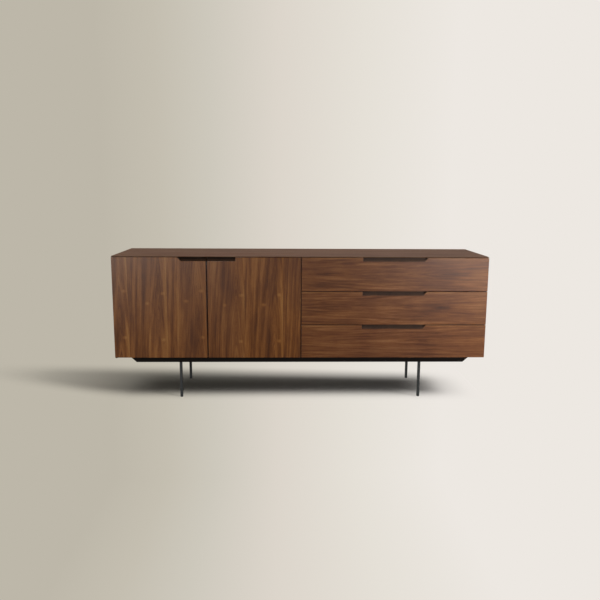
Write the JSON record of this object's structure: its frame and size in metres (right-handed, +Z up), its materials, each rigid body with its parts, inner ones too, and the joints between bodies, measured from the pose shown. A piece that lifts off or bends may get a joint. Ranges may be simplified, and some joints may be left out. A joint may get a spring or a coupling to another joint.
{
  "type": "buffet sideboard",
  "caption": "Low walnut buffet sideboard with hinged doors over a shelf, full-extension drawers, metal edge pulls, a bevelled black base and thin square metal legs.",
  "frame": {"origin": "middle of the footprint on the floor, under the centre of the case", "axes": "+X to the right along the case seen from the front, +Y to the back, +Z up; the doors and drawers face -Y"},
  "size_m": [2, 0.465, 0.786],
  "materials": {
    "walnut_top": "matt lacquered walnut",
    "walnut_case": "matt lacquered walnut veneer",
    "walnut_back": "matt lacquered walnut veneer",
    "walnut_doors": "matt lacquered walnut veneer, grain upright",
    "walnut_drawers": "matt lacquered walnut veneer, grain lengthwise",
    "birch_boxes": "clear lacquered birch",
    "beech_joinery": "plain beech",
    "black_lacquer": "black lacquered board",
    "black_steel": "black powder coat",
    "black_screws": "black oxide",
    "bronze_steel": "dark bronze powder coat",
    "zinc_steel": "zinc plated",
    "brass_bushes": "turned brass",
    "black_plastic": "moulded plastic"
  },
  "bodies": {
    "case": {"top_face": "walnut_top", "top_panel": "walnut_case", "bottom_panel": "walnut_case", "side_left": "walnut_case", "side_right": "walnut_case", "partition": "walnut_case", "back_panel": "walnut_back", "corner_splines": "beech_joinery", "partition_dowels": "beech_joinery", "shelf": "walnut_case", "shelf_pins": "zinc_steel", "base_plate": "black_lacquer", "leg_front_left": "black_steel", "leg_front_right": "black_steel", "leg_back_left": "black_steel", "leg_back_right": "black_steel", "leg_glides": "black_plastic", "base_screws": "black_screws", "pivot_brackets": "black_steel", "pivot_pins": "zinc_steel", "bracket_screws": "black_screws", "back_screws": "zinc_steel", "door_catches": "black_plastic", "runner_outer_members": "zinc_steel", "runner_screws": "zinc_steel"},
    "door_left": {"door_left": "walnut_doors", "door_left_pull": "bronze_steel", "door_left_bushes": "brass_bushes", "door_left_strike": "zinc_steel"},
    "door_right": {"door_right": "walnut_doors", "door_right_pull": "bronze_steel", "door_right_bushes": "brass_bushes", "door_right_strike": "zinc_steel"},
    "drawer_lower": {"drawer_lower_front": "walnut_drawers", "drawer_lower_pull": "bronze_steel", "drawer_lower_side_left": "birch_boxes", "drawer_lower_side_right": "birch_boxes", "drawer_lower_box_front": "birch_boxes", "drawer_lower_box_back": "birch_boxes", "drawer_lower_bottom": "birch_boxes", "drawer_lower_runner_inner": "zinc_steel"},
    "drawer_lower_stage": {"drawer_lower_runner_middle": "zinc_steel"},
    "drawer_middle": {"drawer_middle_front": "walnut_drawers", "drawer_middle_pull": "bronze_steel", "drawer_middle_side_left": "birch_boxes", "drawer_middle_side_right": "birch_boxes", "drawer_middle_box_front": "birch_boxes", "drawer_middle_box_back": "birch_boxes", "drawer_middle_bottom": "birch_boxes", "drawer_middle_runner_inner": "zinc_steel"},
    "drawer_middle_stage": {"drawer_middle_runner_middle": "zinc_steel"},
    "drawer_upper": {"drawer_upper_front": "walnut_drawers", "drawer_upper_pull": "bronze_steel", "drawer_upper_side_left": "birch_boxes", "drawer_upper_side_right": "birch_boxes", "drawer_upper_box_front": "birch_boxes", "drawer_upper_box_back": "birch_boxes", "drawer_upper_bottom": "birch_boxes", "drawer_upper_runner_inner": "zinc_steel"},
    "drawer_upper_stage": {"drawer_upper_runner_middle": "zinc_steel"}
  },
  "joints": [
    {"name": "door_left_hinge", "type": "hinge", "parent": "case", "child": "door_left", "pos_m": [-0.994, -0.2265, 0.5085], "axis": [0, 0, -1], "range_deg": [0, 90]},
    {"name": "door_right_hinge", "type": "hinge", "parent": "case", "child": "door_right", "pos_m": [-0.0075, -0.2265, 0.5085], "axis": [0, 0, 1], "range_deg": [0, 90]},
    {"name": "drawer_lower_slide", "type": "slide", "parent": "case", "child": "drawer_lower", "axis": [0, -1, 0], "range_m": [0, 0.38]},
    {"name": "drawer_lower_stage_slide", "type": "slide", "parent": "case", "child": "drawer_lower_stage", "axis": [0, -1, 0], "range_m": [0, 0.19]},
    {"name": "drawer_middle_slide", "type": "slide", "parent": "case", "child": "drawer_middle", "axis": [0, -1, 0], "range_m": [0, 0.38]},
    {"name": "drawer_middle_stage_slide", "type": "slide", "parent": "case", "child": "drawer_middle_stage", "axis": [0, -1, 0], "range_m": [0, 0.19]},
    {"name": "drawer_upper_slide", "type": "slide", "parent": "case", "child": "drawer_upper", "axis": [0, -1, 0], "range_m": [0, 0.38]},
    {"name": "drawer_upper_stage_slide", "type": "slide", "parent": "case", "child": "drawer_upper_stage", "axis": [0, -1, 0], "range_m": [0, 0.19]}
  ],
  "couplings": [
    {"joint": "drawer_lower_stage_slide", "follows": "drawer_lower_slide", "ratio": 0.5},
    {"joint": "drawer_middle_stage_slide", "follows": "drawer_middle_slide", "ratio": 0.5},
    {"joint": "drawer_upper_stage_slide", "follows": "drawer_upper_slide", "ratio": 0.5}
  ]
}
